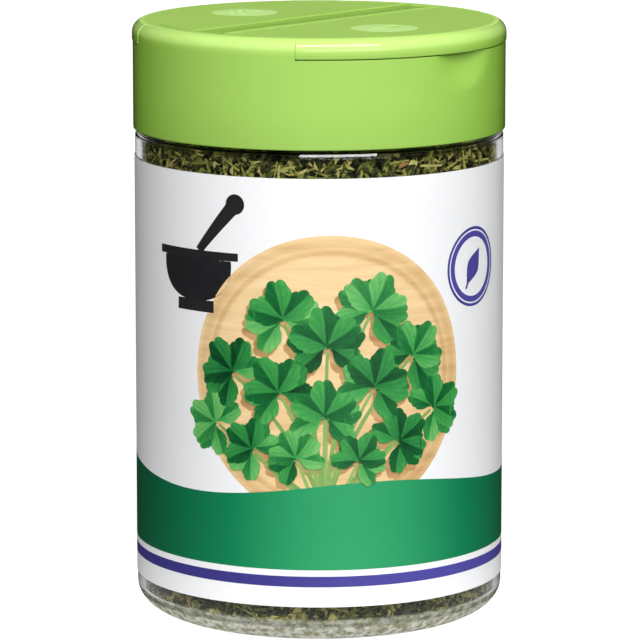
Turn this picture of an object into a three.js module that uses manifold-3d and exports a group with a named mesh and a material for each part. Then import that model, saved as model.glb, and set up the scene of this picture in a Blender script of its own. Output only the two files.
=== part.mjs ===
// Jar of dried coriander leaf: a clear round jar with a heavy base, a wrap label, the crumbled
// leaf that fills it, and a screw cap with two flaps on a centre bar. One flap covers seven
// shaker holes, the other a half-moon opening for pouring or a spoon.
// Millimetres, +Z up, origin at the centre of the base, label front towards -Y.

import * as THREE from 'three';
import { mergeVertices } from 'three/addons/utils/BufferGeometryUtils.js';
import Module from 'manifold-3d';

const wasm = await Module();
wasm.setup();

const ROUND_SIDES = 60;
const DEGREE = Math.PI / 180;

// jar
const JAR_RADIUS = 34.75;
const JAR_WALL = 1.3;
const HEEL_REACH = 8;
const HEEL_RISE = 5.5;
const STAND_RING_WIDTH = 2.75;
const PUSH_UP = 2;
const FLOOR_Z = 3.6;
const FLOOR_CORNER = 1.8;
const FLOOR_CROWN = 0.8;
const SHOULDER_Z = 92.2;
const SHOULDER_ROUND = 1;
const SHOULDER_THICK = 0.8;
const NECK_RADIUS = 29.8;
const NECK_WALL = 1.5;
const NECK_TOP_Z = 109;
const RIM_CHAMFER = 0.4;

// screw thread, right-handed, one start
const THREAD_PITCH = 4.2;
const THREAD_TURNS = 1.25;
const THREAD_DEPTH = 1.4;
const THREAD_ROOT = 2.2;
const THREAD_TIP = 1;
const THREAD_SINK = 0.3;
const JAR_THREAD_Z = 100.2;
const CAP_THREAD_DROP = 1.75;

// label
const LABEL_BOTTOM_Z = 7.6;
const LABEL_TOP_Z = 87.4;
const LABEL_THICK = 0.2;
const LABEL_GAP = 0.05;
const LABEL_SEAM = 0.4;

// cap
const CAP_RADIUS = 35.1;
const CAP_BOTTOM_Z = 92.5;
const CAP_TOP_Z = 112.9;
const CAP_EDGE_ROUND = 2.3;
const SKIRT_WALL = 1.2;
const SKIRT_SLOT_TOP_Z = 103.2;
const THREAD_RING_INNER = 31.6;
const THREAD_RING_WALL = 1.2;
const THREAD_RING_BOTTOM_Z = 93.4;
const PLUG_RING_OUTER = 27.9;
const PLUG_RING_WALL = 1;
const PLUG_RING_DEPTH = 3;
const DECK_TOP_Z = 110.9;
const DECK_THICK = 1.6;
const CROWN_INNER = 31.3;
const BAR_HALF_WIDTH = 3;
const BAR_TOP_Z = 112.4;
const BAR_RIDGE_WIDTH = 0.8;
const BAR_RIDGE_RISE = 0.2;
const LEDGE_Z = 109;
const LEDGE_INNER = 33;

// flaps: the pour flap faces front right, the shaker flap back left
const POUR_DIRECTION = -40.5;
const SHAKER_DIRECTION = POUR_DIRECTION + 180;
const RUNNING_GAP = 0.3;
const FLAP_RADIUS = 35.25;
const FLAP_THICK = 1.65;
const LIP_BOTTOM_Z = LEDGE_Z + RUNNING_GAP;
const LIP_HALF_ANGLE = 56.2;
const LIP_SIDE_GAP = 0.45;
const MARK_RADIUS = 6.3;
const MARK_RISE = 0.2;
const MARK_SIDES = 24;
const POUR_MARK = { forward: 19.9, across: -4.9 };
const SHAKER_MARK = { forward: 17.6, across: 1.3 };
const STOPPER_REACH = 0.7;
const STOPPER_GAP = 0.45;

// openings in the deck
const POUR_STRAIGHT_EDGE = 6.5;
const POUR_RADIUS = 25;
const POUR_RIM_WALL = 1;
const SHAKER_HOLE_RADIUS = 2.5;
const SHAKER_ROWS = [
  { distance: 10, offsets: [-15, -5, 5, 15] },
  { distance: 18.5, offsets: [-10, 0, 10] },
];
const HOLE_SIDES = 16;
const PEG_RADIUS = 1.9;

// thumb notch in the cap wall under each flap's lip
const NOTCH_HALF_WIDTH = 6.6;
const NOTCH_DEPTH = 1.7;
const NOTCH_HEIGHT = 5.4;

// crumbled leaf
const LEAF_SIDES = 44;
const LEAF_CELL = 3.5;
const LEAF_RELIEF = 1.3;
const LEAF_GAP = 0.3;
const LEAF_TOP_Z = 97.5;
const LEAF_MOUND = 1.2;
const LEAF_SEED = 20;

const material = {
  jar: new THREE.MeshStandardMaterial({
    color: 0xe9eeec, roughness: 0.08, metalness: 0, transparent: true, opacity: 0.35,
  }),
  label: new THREE.MeshStandardMaterial({ color: 0xf2f2f4, roughness: 0.35, metalness: 0 }),
  leaf: new THREE.MeshStandardMaterial({ color: 0x6b6a34, roughness: 0.9, metalness: 0 }),
  cap: new THREE.MeshStandardMaterial({ color: 0x8fc748, roughness: 0.38, metalness: 0 }),
};

/** A closed solid from a three.js geometry: shared corners merged, zero-area triangles dropped. */
function solid(geometry) {
  const bare = geometry.clone();
  bare.deleteAttribute('normal');
  bare.deleteAttribute('uv');
  const welded = mergeVertices(bare, 1e-4);
  const corners = welded.index.array;
  const kept = [];
  for (let i = 0; i < corners.length; i += 3) {
    const [a, b, c] = [corners[i], corners[i + 1], corners[i + 2]];
    if (a !== b && b !== c && c !== a) kept.push(a, b, c);
  }
  return new wasm.Manifold(new wasm.Mesh({
    numProp: 3,
    vertProperties: new Float32Array(welded.attributes.position.array),
    triVerts: new Uint32Array(kept),
  }));
}

/** The named mesh of a finished solid. */
function piece(name, body, look) {
  const { vertProperties, triVerts } = body.getMesh();
  const geometry = new THREE.BufferGeometry();
  geometry.setAttribute('position', new THREE.BufferAttribute(vertProperties, 3));
  geometry.setIndex(new THREE.BufferAttribute(triVerts, 1));
  geometry.computeVertexNormals();
  const mesh = new THREE.Mesh(geometry, look.clone());
  mesh.name = name;
  return mesh;
}

/** Points of an elliptical arc in a radius-height profile, both ends included. */
function arc(centreR, centreZ, radiusR, radiusZ, fromDegrees, toDegrees, steps) {
  const points = [];
  for (let i = 0; i <= steps; i++) {
    const angle = (fromDegrees + (toDegrees - fromDegrees) * i / steps) * DEGREE;
    points.push([centreR + radiusR * Math.cos(angle), centreZ + radiusZ * Math.sin(angle)]);
  }
  return points;
}

/** A profile of [radius, height] points turned about the Z axis. */
function turnedGeometry(profile, sides) {
  const points = profile.map(([r, z]) => new THREE.Vector2(Math.max(r, 0), z));
  return new THREE.LatheGeometry(points, sides).rotateX(Math.PI / 2);
}

function turned(profile, sides = ROUND_SIDES) {
  return solid(turnedGeometry(profile, sides));
}

/** A flat outline of [x, y] points raised from one height to another. */
function prism(outline, bottomZ, topZ) {
  const shape = new THREE.Shape(outline.map(([x, y]) => new THREE.Vector2(x, y)));
  const options = { depth: topZ - bottomZ, bevelEnabled: false };
  return solid(new THREE.ExtrudeGeometry(shape, options).translate(0, 0, bottomZ));
}

/** A straight ridge wound round the axis, from its lower end up: one screw thread. */
function threadRidge(rootRadius, depth, middleZ, turns) {
  const shape = new THREE.Shape([
    new THREE.Vector2(-Math.sign(depth) * THREAD_SINK, -THREAD_ROOT / 2),
    new THREE.Vector2(depth, -THREAD_TIP / 2),
    new THREE.Vector2(depth, THREAD_TIP / 2),
    new THREE.Vector2(-Math.sign(depth) * THREAD_SINK, THREAD_ROOT / 2),
  ]);
  const steps = Math.round(ROUND_SIDES * turns);
  const ridge = new THREE.ExtrudeGeometry(shape, { depth: 1, steps, bevelEnabled: false });
  const place = ridge.attributes.position;
  for (let i = 0; i < place.count; i++) {
    const along = 0.5 - place.getZ(i);
    const angle = along * turns * 2 * Math.PI;
    const radius = rootRadius + place.getX(i);
    const height = middleZ + along * turns * THREAD_PITCH + place.getY(i);
    place.setXYZ(i, radius * Math.cos(angle), radius * Math.sin(angle), height);
  }
  return solid(ridge);
}

/** Turns a piece made for the +X direction to the plan direction given in degrees. */
function facing(body, directionDegrees) {
  return body.rotate([0, 0, directionDegrees]);
}

/** A prism that covers the plan between two directions on either side of +X. */
function wedge(halfAngle, bottomZ, topZ) {
  const reach = 60;
  const side = [reach * Math.cos(halfAngle * DEGREE), reach * Math.sin(halfAngle * DEGREE)];
  return prism([[0, 0], [side[0], -side[1]], [reach, -reach], [reach, reach], side], bottomZ, topZ);
}

/** The half-moon beyond a straight edge and inside a radius, on the +X side. */
function halfMoon(straightEdge, radius, bottomZ, topZ) {
  const limit = Math.acos(straightEdge / radius) / DEGREE;
  return prism(arc(0, 0, radius, radius, -limit, limit, 24), bottomZ, topZ);
}

function peg(radius, sides, x, y, bottomZ, topZ) {
  const height = topZ - bottomZ;
  const cylinder = new THREE.CylinderGeometry(radius, radius, height, sides).rotateX(Math.PI / 2);
  return solid(cylinder.translate(x, y, bottomZ + height / 2));
}

function makeJar() {
  const standRadius = JAR_RADIUS - HEEL_REACH;
  const domeRadius = standRadius - STAND_RING_WIDTH;
  const boreRadius = NECK_RADIUS - NECK_WALL;
  const insideRadius = JAR_RADIUS - JAR_WALL;
  const innerRound = SHOULDER_ROUND - 0.4;
  const ceilingZ = SHOULDER_Z - SHOULDER_THICK;
  const roundRadius = insideRadius - innerRound;
  const cornerRadius = insideRadius - FLOOR_CORNER;
  const shell = turned([
    ...arc(0, 0, domeRadius, PUSH_UP, 90, 0, 4),
    ...arc(standRadius, HEEL_RISE, HEEL_REACH, HEEL_RISE, -90, 0, 6),
    ...arc(JAR_RADIUS - SHOULDER_ROUND, SHOULDER_Z - SHOULDER_ROUND,
      SHOULDER_ROUND, SHOULDER_ROUND, 0, 90, 4),
    [NECK_RADIUS, SHOULDER_Z],
    [NECK_RADIUS, NECK_TOP_Z - RIM_CHAMFER],
    [NECK_RADIUS - RIM_CHAMFER, NECK_TOP_Z],
    [boreRadius + RIM_CHAMFER, NECK_TOP_Z],
    [boreRadius, NECK_TOP_Z - RIM_CHAMFER],
    [boreRadius, ceilingZ],
    ...arc(roundRadius, ceilingZ - innerRound, innerRound, innerRound, 90, 0, 3),
    ...arc(cornerRadius, FLOOR_Z + FLOOR_CORNER, FLOOR_CORNER, FLOOR_CORNER, 0, -90, 4),
    ...arc(0, FLOOR_Z, domeRadius, FLOOR_CROWN, 0, 90, 3),
  ]);
  return shell.add(threadRidge(NECK_RADIUS, THREAD_DEPTH, JAR_THREAD_Z, THREAD_TURNS));
}

function makeLabel() {
  const inner = JAR_RADIUS + LABEL_GAP;
  const outer = inner + LABEL_THICK;
  const sleeve = turned([
    [inner, LABEL_BOTTOM_Z],
    [outer, LABEL_BOTTOM_Z],
    [outer, LABEL_TOP_Z],
    [inner, LABEL_TOP_Z],
    [inner, LABEL_BOTTOM_Z],
  ]);
  const half = LABEL_SEAM / 2;
  const seam = [[-half, 0], [half, 0], [half, outer + 1], [-half, outer + 1]];
  return sleeve.subtract(prism(seam, 0, CAP_TOP_Z));
}

/** A repeatable number from 0 to 1 for a row and column of the leaf's surface. */
function flakeDraw(row, column, channel) {
  const wave = Math.sin(row * 127.1 + column * 311.7 + channel * 74.7 + LEAF_SEED) * 43758.5453;
  return wave - Math.floor(wave);
}

/** Points from one profile corner to the next, no further apart than one flake. */
function flakeRows(corners) {
  const rows = [corners[0]];
  for (let i = 1; i < corners.length; i++) {
    const [fromR, fromZ] = corners[i - 1];
    const [toR, toZ] = corners[i];
    const count = Math.max(1, Math.round(Math.hypot(toR - fromR, toZ - fromZ) / LEAF_CELL));
    for (let k = 1; k <= count; k++) {
      rows.push([fromR + (toR - fromR) * k / count, fromZ + (toZ - fromZ) * k / count]);
    }
  }
  return rows;
}

/** The fill of crumbled leaf: it takes the jar's inside, and every flake tip is a raised point. */
function makeLeaves() {
  const sideRadius = JAR_RADIUS - JAR_WALL - LEAF_GAP;
  const neckRadius = NECK_RADIUS - NECK_WALL - LEAF_GAP;
  const floorRadius = JAR_RADIUS - JAR_WALL - FLOOR_CORNER;
  const floorZ = FLOOR_Z + FLOOR_CROWN + LEAF_GAP;
  const ceilingZ = SHOULDER_Z - SHOULDER_THICK - LEAF_GAP;
  const rows = flakeRows([
    [0, floorZ],
    [floorRadius, FLOOR_Z + LEAF_GAP],
    [sideRadius, FLOOR_Z + FLOOR_CORNER],
    [sideRadius, ceilingZ - SHOULDER_ROUND],
    [sideRadius - SHOULDER_ROUND, ceilingZ],
    [neckRadius, ceilingZ],
    [neckRadius, LEAF_TOP_Z - LEAF_MOUND],
    [0, LEAF_TOP_Z],
  ]);
  const geometry = turnedGeometry(rows, LEAF_SIDES);
  const place = geometry.attributes.position;
  const middleZ = (floorZ + LEAF_TOP_Z) / 2;
  for (let i = 0; i < place.count; i++) {
    const row = i % rows.length;
    const column = Math.floor(i / rows.length) % LEAF_SIDES;
    const [radius, height] = rows[row];
    const onAxis = row === 0 || row === rows.length - 1;
    const sunk = onAxis ? 0 : LEAF_RELIEF * flakeDraw(row, column, 1);
    const onSide = radius > neckRadius - 1;
    const inward = onSide ? (radius - sunk) / radius : 1;
    const endShift = onSide ? 0 : sunk * Math.sign(middleZ - height);
    place.setXYZ(i, place.getX(i) * inward, place.getY(i) * inward, height + endShift);
  }
  return solid(geometry);
}

/** The half-moon opening, or the shaker holes, as the solid to cut from the deck. */
function pourCut() {
  return halfMoon(POUR_STRAIGHT_EDGE, POUR_RADIUS, DECK_TOP_Z - 5, DECK_TOP_Z + 5);
}

function shakerPlaces() {
  return SHAKER_ROWS.flatMap(({ distance, offsets }) => offsets.map((y) => [distance, y]));
}

function shakerCut() {
  const holes = shakerPlaces().map(([x, y]) => (
    peg(SHAKER_HOLE_RADIUS, HOLE_SIDES, x, y, DECK_TOP_Z - 5, DECK_TOP_Z + 5)));
  return holes.reduce((all, hole) => all.add(hole));
}

/** The scallop in the cap wall that lets a thumb in under the lip. */
function notchCut() {
  const across = (NOTCH_HALF_WIDTH ** 2 + NOTCH_DEPTH ** 2) / (2 * NOTCH_DEPTH);
  const stretch = NOTCH_HEIGHT / NOTCH_HALF_WIDTH;
  const scoop = new THREE.SphereGeometry(across, 80, 60).scale(1, 1, stretch);
  return solid(scoop.translate(CAP_RADIUS - NOTCH_DEPTH + across, 0, LEDGE_Z))
    .intersect(prism([[30, -9], [40, -9], [40, 9], [30, 9]], LEDGE_Z - 9, LEDGE_Z + 1));
}

/** The room that one flap and its lip need in the cap's crown. */
function flapSeatCut() {
  const outside = CAP_RADIUS + 2;
  const above = CAP_TOP_Z + 2;
  const ring = turned([
    [CROWN_INNER - 0.5, DECK_TOP_Z],
    [LEDGE_INNER, DECK_TOP_Z],
    [LEDGE_INNER, LEDGE_Z],
    [outside, LEDGE_Z],
    [outside, above],
    [CROWN_INNER - 0.5, above],
    [CROWN_INNER - 0.5, DECK_TOP_Z],
  ]);
  return ring.intersect(wedge(LIP_HALF_ANGLE + LIP_SIDE_GAP, LEDGE_Z - 1, above + 1));
}

function makeCap() {
  const deckBottomZ = DECK_TOP_Z - DECK_THICK;
  const plugInner = PLUG_RING_OUTER - PLUG_RING_WALL;
  const ringOuter = THREAD_RING_INNER + THREAD_RING_WALL;
  const skirtInner = CAP_RADIUS - SKIRT_WALL;
  const edgeRadius = CAP_RADIUS - CAP_EDGE_ROUND;
  const edgeZ = CAP_TOP_Z - CAP_EDGE_ROUND;
  const shell = turned([
    [0, deckBottomZ],
    [plugInner, deckBottomZ],
    [plugInner, deckBottomZ - PLUG_RING_DEPTH],
    [PLUG_RING_OUTER - 0.3, deckBottomZ - PLUG_RING_DEPTH],
    [PLUG_RING_OUTER, deckBottomZ],
    [THREAD_RING_INNER, deckBottomZ],
    [THREAD_RING_INNER, THREAD_RING_BOTTOM_Z],
    [ringOuter, THREAD_RING_BOTTOM_Z],
    [ringOuter, SKIRT_SLOT_TOP_Z],
    [skirtInner, SKIRT_SLOT_TOP_Z],
    [skirtInner, CAP_BOTTOM_Z],
    [CAP_RADIUS, CAP_BOTTOM_Z],
    ...arc(edgeRadius, edgeZ, CAP_EDGE_ROUND, CAP_EDGE_ROUND, 0, 90, 5),
    [CROWN_INNER, CAP_TOP_Z],
    [CROWN_INNER, DECK_TOP_Z],
    [0, DECK_TOP_Z],
  ]);
  const barEnd = CROWN_INNER + 0.7;
  const bar = prism([
    [-BAR_HALF_WIDTH, -barEnd],
    [BAR_HALF_WIDTH, -barEnd],
    [BAR_HALF_WIDTH, barEnd],
    [-BAR_HALF_WIDTH, barEnd],
  ], deckBottomZ + 0.5, BAR_TOP_Z);
  const ridgeHalf = BAR_RIDGE_WIDTH / 2;
  const ridge = prism([
    [-ridgeHalf, -barEnd],
    [ridgeHalf, -barEnd],
    [ridgeHalf, barEnd],
    [-ridgeHalf, barEnd],
  ], BAR_TOP_Z - 0.5, BAR_TOP_Z + BAR_RIDGE_RISE);
  const capThread = threadRidge(
    THREAD_RING_INNER, -THREAD_DEPTH, JAR_THREAD_Z - CAP_THREAD_DROP, THREAD_TURNS);
  return shell
    .add(capThread)
    .subtract(facing(flapSeatCut(), POUR_DIRECTION))
    .subtract(facing(flapSeatCut(), SHAKER_DIRECTION))
    .add(facing(bar.add(ridge), POUR_DIRECTION))
    .subtract(facing(pourCut(), POUR_DIRECTION))
    .subtract(facing(shakerCut(), SHAKER_DIRECTION))
    .subtract(facing(notchCut(), POUR_DIRECTION))
    .subtract(facing(notchCut(), SHAKER_DIRECTION));
}

/**
 * A flap without its stoppers, made for the +X direction, with its hinge edge along Y and a low
 * round pad on top.
 */
function flapPlate(mark) {
  const plateBottomZ = CAP_TOP_Z - FLAP_THICK;
  const edgeRadius = FLAP_RADIUS - CAP_EDGE_ROUND;
  const edgeZ = CAP_TOP_Z - CAP_EDGE_ROUND;
  const lipInner = LEDGE_INNER + RUNNING_GAP;
  const round = turned([
    [0, plateBottomZ],
    [lipInner, plateBottomZ],
    [lipInner, LIP_BOTTOM_Z],
    [FLAP_RADIUS, LIP_BOTTOM_Z],
    ...arc(edgeRadius, edgeZ, CAP_EDGE_ROUND, CAP_EDGE_ROUND, 0, 90, 5),
    [0, CAP_TOP_Z],
  ]);
  const hingeEdge = BAR_HALF_WIDTH + RUNNING_GAP;
  const inCrown = halfMoon(hingeEdge, CROWN_INNER - RUNNING_GAP, LEDGE_Z, CAP_TOP_Z + 1);
  const beyondHinge = prism([
    [hingeEdge, -50],
    [50, -50],
    [50, 50],
    [hingeEdge, 50],
  ], LEDGE_Z, CAP_TOP_Z + 1);
  const underLip = wedge(LIP_HALF_ANGLE, LEDGE_Z, CAP_TOP_Z + 1).intersect(beyondHinge);
  const pad = peg(
    MARK_RADIUS, MARK_SIDES, mark.forward, mark.across, CAP_TOP_Z - 0.5, CAP_TOP_Z + MARK_RISE);
  return round.intersect(inCrown.add(underLip)).add(pad);
}

/** The pour flap: a half-moon rim under it drops into the opening. */
function makePourFlap() {
  const bottomZ = DECK_TOP_Z - STOPPER_REACH;
  const topZ = CAP_TOP_Z - FLAP_THICK + 0.5;
  const edge = POUR_STRAIGHT_EDGE + STOPPER_GAP;
  const radius = POUR_RADIUS - STOPPER_GAP;
  const inner = halfMoon(edge + POUR_RIM_WALL, radius - POUR_RIM_WALL, bottomZ - 1, topZ + 1);
  const rim = halfMoon(edge, radius, bottomZ, topZ).subtract(inner);
  return facing(flapPlate(POUR_MARK).add(rim), POUR_DIRECTION);
}

/** The shaker flap: a short peg under it closes each hole. */
function makeShakerFlap() {
  const bottomZ = DECK_TOP_Z - STOPPER_REACH;
  const topZ = CAP_TOP_Z - FLAP_THICK + 0.5;
  const pegs = shakerPlaces().map(([x, y]) => peg(PEG_RADIUS, 10, x, y, bottomZ, topZ));
  const plate = flapPlate(SHAKER_MARK);
  return facing(pegs.reduce((all, one) => all.add(one), plate), SHAKER_DIRECTION);
}

const jarOfLeaf = new THREE.Group();
jarOfLeaf.add(
  piece('jar', makeJar(), material.jar),
  piece('label', makeLabel(), material.label),
  piece('dried_leaves', makeLeaves(), material.leaf),
  piece('cap', makeCap(), material.cap),
  piece('pour_flap', makePourFlap(), material.cap),
  piece('shaker_flap', makeShakerFlap(), material.cap),
);

export default jarOfLeaf;
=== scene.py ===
import math
import random

import bpy
import numpy as np
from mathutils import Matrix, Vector, noise


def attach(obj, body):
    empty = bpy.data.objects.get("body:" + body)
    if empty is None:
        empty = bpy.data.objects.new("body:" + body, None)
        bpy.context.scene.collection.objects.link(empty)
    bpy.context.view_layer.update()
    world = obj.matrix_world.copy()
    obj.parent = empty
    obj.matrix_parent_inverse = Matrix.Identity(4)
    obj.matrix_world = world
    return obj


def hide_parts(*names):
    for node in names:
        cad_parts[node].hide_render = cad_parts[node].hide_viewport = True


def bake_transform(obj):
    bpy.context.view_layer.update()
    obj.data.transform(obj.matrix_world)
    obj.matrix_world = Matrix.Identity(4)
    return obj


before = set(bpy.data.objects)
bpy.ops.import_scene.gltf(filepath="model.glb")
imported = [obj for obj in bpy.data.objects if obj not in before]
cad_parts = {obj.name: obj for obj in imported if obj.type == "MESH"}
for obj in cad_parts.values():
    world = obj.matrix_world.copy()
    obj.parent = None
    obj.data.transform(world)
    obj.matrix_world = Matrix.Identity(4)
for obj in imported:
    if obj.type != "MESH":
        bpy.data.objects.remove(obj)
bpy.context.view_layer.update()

# ---------------------------------------------------------------- the clear jar
# The jar is one moulding in clear plastic: a heavy base with a shallow push-up, a rounded heel,
# a straight wall, a shoulder, and a neck with a screw thread. It is turned ring by ring from the
# middle of the base, up the outside, over the rim and down the inside to the floor.
MM = 0.001
ROUND_SIDES = 144
JAR_RADIUS, JAR_INSIDE = 34.75, 33.45
HEEL_REACH, HEEL_RISE = 8.0, 5.5
DOME_RADIUS, PUSH_UP = 24.0, 2.0
SHOULDER_Z, SHOULDER_ROUND = 92.2, 1.0
SLOPE_FOOT, SLOPE_HEAD = (34.74, 91.34), (34.324, 92.019)
NECK_RADIUS, NECK_BORE, NECK_TOP_Z = 29.8, 28.3, 109.0
NECK_FOOT_ROUND, RIM_ROUND = 0.5, 0.4
CEILING_Z, CEILING_ROUND = 91.4, 0.6
FLOOR_Z, FLOOR_CORNER, FLOOR_CROWN = 3.6, 1.8, 0.8
THREAD_PITCH, THREAD_TURNS, THREAD_DEPTH = 4.2, 1.25, 1.4
THREAD_MIDDLE_Z = 100.2
THREAD_HALF_ROOT, THREAD_HALF_TIP, THREAD_SINK = 1.1, 0.5, 0.3
HAZE_TOP_Z, HAZE_FULL_Z, INSIDE_HAZE_RISE, HAZE_SHARE = 3.9, 3.3, 1.2, 0.68
CLEAR_TINT, CLEAR_SHADOW = (0.97, 0.985, 0.98), (0.93, 0.95, 0.94)
# The haze's pale tone is the frosted base; its dark olive mottle is a painted image of the leaf
# seen through it.
HAZE_AND_PAINTED_LEAF_TONES = [(0.40, (0.31, 0.31, 0.18)), (0.60, (0.85, 0.85, 0.76))]


def deselect_all():
    """Leaves edit mode and deselects every object."""
    if bpy.context.object and bpy.context.object.mode != "OBJECT":
        bpy.ops.object.mode_set(mode="OBJECT")
    bpy.ops.object.select_all(action="DESELECT")


def pick(piece):
    deselect_all()
    piece.select_set(True)
    bpy.context.view_layer.objects.active = piece


def edit_all():
    """Opens the active piece in edit mode with all of it selected."""
    bpy.ops.object.mode_set(mode="EDIT")
    bpy.ops.mesh.select_all(action="SELECT")


def draw_out(way):
    bpy.ops.mesh.extrude_region_move(TRANSFORM_OT_translate={"value": way})


def close_up():
    """Turns all faces of the piece being edited outwards and leaves edit mode."""
    bpy.ops.mesh.select_all(action="SELECT")
    bpy.ops.mesh.normals_make_consistent(inside=False)
    bpy.ops.object.mode_set(mode="OBJECT")


def arc(centre_r, centre_z, reach, start, end, steps, rise=None):
    """Points (radius, height) along an arc, angles in degrees, both ends included."""
    rise = rise or reach
    turns = [math.radians(start + (end - start) * i / steps) for i in range(steps + 1)]
    return [(centre_r + reach * math.cos(turn), centre_z + rise * math.sin(turn)) for turn in turns]


def turn_up(name, profile):
    """A round piece: a small disc drawn out and resized ring by ring along its profile, in mm."""
    deselect_all()
    radius, height = profile[0]
    bpy.ops.mesh.primitive_circle_add(
        vertices=ROUND_SIDES, radius=radius * MM, fill_type="NGON", location=(0, 0, height * MM))
    piece = bpy.context.object
    piece.name = name
    bpy.ops.object.transform_apply()
    edit_all()
    for next_radius, next_height in profile[1:]:
        draw_out((0, 0, (next_height - height) * MM))
        grow = next_radius / radius
        bpy.ops.transform.resize(value=(grow, grow, 1), center_override=(0, 0, 0))
        radius, height = next_radius, next_height
    close_up()
    return piece


def flat_face(name, places):
    """One flat face with a corner at each place, in metres, open in edit mode."""
    deselect_all()
    bpy.ops.mesh.primitive_circle_add(vertices=len(places), radius=1, fill_type="NGON")
    piece = bpy.context.object
    piece.name = name
    for corner, place in zip(piece.data.vertices, places):
        corner.co = place
    edit_all()
    return piece


def draw_round(name, section, start, end, steps, rise):
    """A flat (radius, height) section drawn round the axis between two turns while it climbs."""
    turn = math.radians(start)
    piece = flat_face(name, [
        (radius * math.cos(turn) * MM, radius * math.sin(turn) * MM, height * MM)
        for radius, height in section])
    for _ in range(steps):
        draw_out((0, 0, rise / steps * MM))
        bpy.ops.transform.rotate(value=-math.radians(end - start) / steps, orient_axis="Z",
                                 center_override=(0, 0, 0))
    close_up()
    return piece


def wind_thread(name, root, depth, middle_z):
    """One screw thread: its trapezoid section is drawn round the axis and up by the pitch."""
    rise = THREAD_PITCH * THREAD_TURNS
    inner = root - math.copysign(THREAD_SINK, depth)
    low = middle_z - rise / 2
    section = [(inner, low - THREAD_HALF_ROOT), (root + depth, low - THREAD_HALF_TIP),
               (root + depth, low + THREAD_HALF_TIP), (inner, low + THREAD_HALF_ROOT)]
    return draw_round(name, section, 0, 360 * THREAD_TURNS, round(72 * THREAD_TURNS), rise)


def join_or_cut(piece, tool, operation):
    """Joins the tool to the piece, cuts it away or keeps the common part, and drops the tool."""
    pick(piece)
    modifier = piece.modifiers.new("shape", "BOOLEAN")
    modifier.operation = operation
    modifier.solver = "EXACT"
    modifier.object = tool
    bpy.ops.object.modifier_apply(modifier=modifier.name)
    bpy.data.objects.remove(tool)


def smooth(piece, angle_degrees):
    pick(piece)
    bpy.ops.object.shade_smooth_by_angle(angle=math.radians(angle_degrees))


def feed(tree, sockets, values):
    """Gives each socket its plain value, or the link that stands in its place."""
    for socket, value in zip(sockets, values):
        if isinstance(value, bpy.types.NodeSocket):
            tree.links.new(value, socket)
        elif socket.type == "RGBA":
            socket.default_value = (*value, 1)
        else:
            socket.default_value = value


def feed_named(tree, node, **values):
    """The same for sockets of a node by name, with _ for a space."""
    feed(tree, [node.inputs[name.replace("_", " ")] for name in values], values.values())


def node_material(name, **values):
    """A fresh material with its node tree and its Principled shader, some of its sockets set."""
    material = bpy.data.materials.new(name)
    material.use_nodes = True
    tree = material.node_tree
    shader = tree.nodes["Principled BSDF"]
    feed_named(tree, shader, **values)
    return material, tree, shader


def worked(tree, operation, *values, clamp=False):
    """The result of one Math node."""
    node = tree.nodes.new("ShaderNodeMath")
    node.operation = operation
    node.use_clamp = clamp
    feed(tree, node.inputs, values)
    return node.outputs["Value"]


def measured(tree, operation, *values):
    """The result of one Vector Math node: a number where the operation gives one."""
    node = tree.nodes.new("ShaderNodeVectorMath")
    node.operation = operation
    feed(tree, node.inputs, values)
    numbers = ("LENGTH", "DISTANCE", "DOT_PRODUCT")
    return node.outputs["Value" if operation in numbers else "Vector"]


def ranged(tree, value, start, end, low=0.0, high=1.0):
    """A value turned from the range start to end into the range low to high, and held in it."""
    node = tree.nodes.new("ShaderNodeMapRange")
    feed(tree, node.inputs, (value, start, end, low, high))
    return node.outputs["Result"]


def between(tree, length, start, end, low=0.0, high=1.0):
    """The same for a length in metres between two sizes in mm."""
    return ranged(tree, length, start * MM, end * MM, low, high)


def mixed(tree, share, first, second, blend="MIX"):
    """Two colours mixed."""
    node = tree.nodes.new("ShaderNodeMix")
    node.data_type = "RGBA"
    node.blend_type = blend
    feed(tree, (node.inputs[0], node.inputs[6], node.inputs[7]), (share, first, second))
    return node.outputs[2]


def mixed_shader(tree, share, first, second):
    node = tree.nodes.new("ShaderNodeMixShader")
    feed(tree, node.inputs, (share, first, second))
    return node.outputs["Shader"]


def toned(tree, level, stops):
    """A colour ramp over (position, colour) stops."""
    ramp = tree.nodes.new("ShaderNodeValToRGB")
    elements = ramp.color_ramp.elements
    while len(elements) < len(stops):
        elements.new(0.5)
    for element, (position, colour) in zip(elements, stops):
        element.position = position
        element.color = (*colour, 1)
    tree.links.new(level, ramp.inputs["Fac"])
    return ramp.outputs["Color"]


def own_place(tree):
    """The place of each point on its piece, in metres."""
    return tree.nodes.new("ShaderNodeTexCoord").outputs["Object"]


def part_of(tree, vector, axis):
    split = tree.nodes.new("ShaderNodeSeparateXYZ")
    tree.links.new(vector, split.inputs["Vector"])
    return split.outputs[axis]


def flat_reach(tree):
    """How far each point is from the jar's axis, in metres."""
    return measured(tree, "LENGTH", measured(tree, "MULTIPLY", own_place(tree), (1, 1, 0)))


def grain(tree, scale, detail=3.0, roughness=0.5, place=None):
    """Noise on Object coordinates, so its grain keeps its real size. Scale is per metre."""
    node = tree.nodes.new("ShaderNodeTexNoise")
    feed_named(tree, node, Vector=place or own_place(tree), Scale=scale, Detail=detail,
               Roughness=roughness)
    return node.outputs["Fac"]


def add_bump(tree, shader, height, strength, distance_mm):
    bump = tree.nodes.new("ShaderNodeBump")
    feed_named(tree, bump, Strength=strength, Distance=distance_mm * MM, Height=height)
    feed_named(tree, shader, Normal=bump.outputs["Normal"])


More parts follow.
